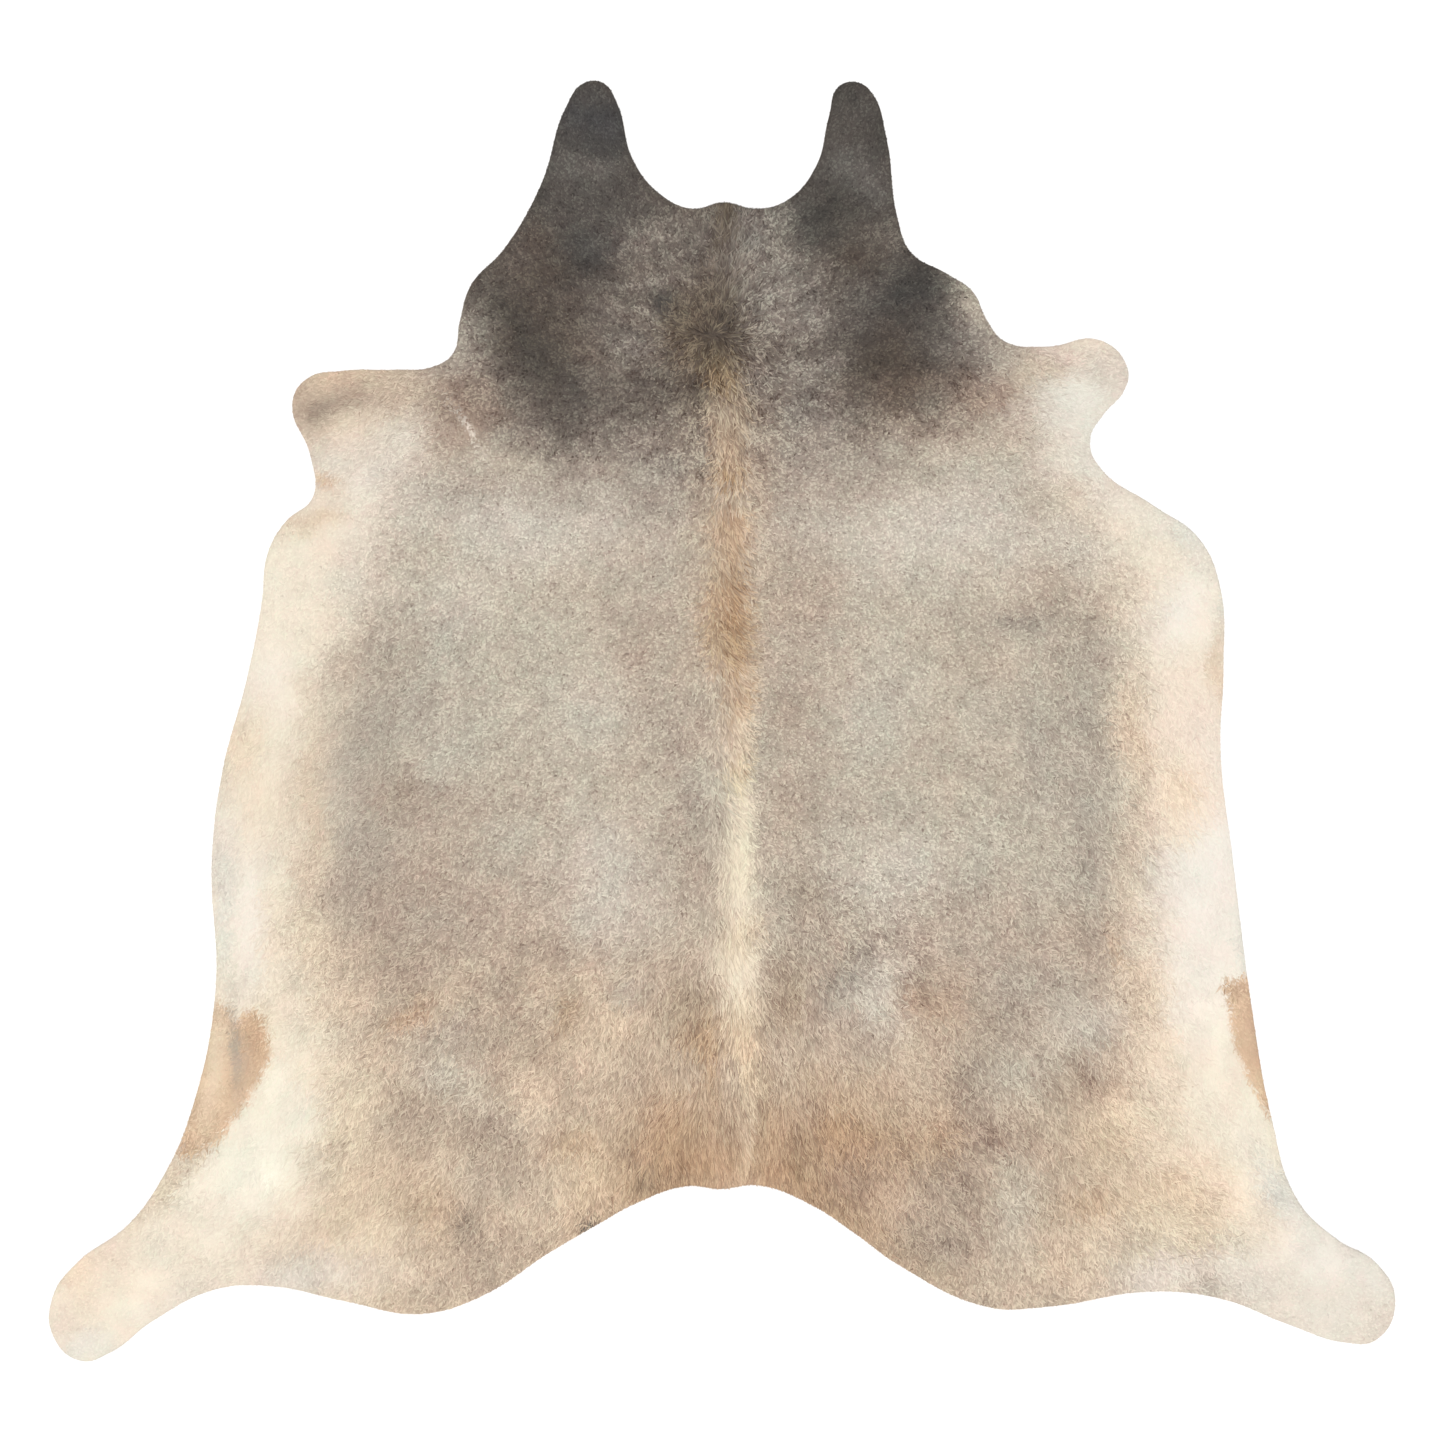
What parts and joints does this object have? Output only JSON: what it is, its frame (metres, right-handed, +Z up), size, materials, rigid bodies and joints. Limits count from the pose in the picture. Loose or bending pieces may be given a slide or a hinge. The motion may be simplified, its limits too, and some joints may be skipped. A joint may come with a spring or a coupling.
{
  "type": "cowhide rug",
  "caption": "Flat hair-on cowhide in one piece with its neck, four legs and rump, pale grey-beige with a darker neck and a cream spine, lying flesh side down.",
  "frame": {"origin": "on the floor, under the middle of the hide's bounding box", "axes": "+Z up, through the hair; +Y toward the neck; +X to the right seen from above with the neck away from the viewer"},
  "size_m": [2.158, 2.0534, 0.007],
  "materials": {
    "cow_hair": "short cow hair lying flat, satin, streaked grey, beige and cream",
    "hide_leather": "bare suede flesh side and cut edge of the tanned hide, matt"
  },
  "bodies": {
    "root": {"cowhide": "cow_hair"}
  },
  "joints": []
}
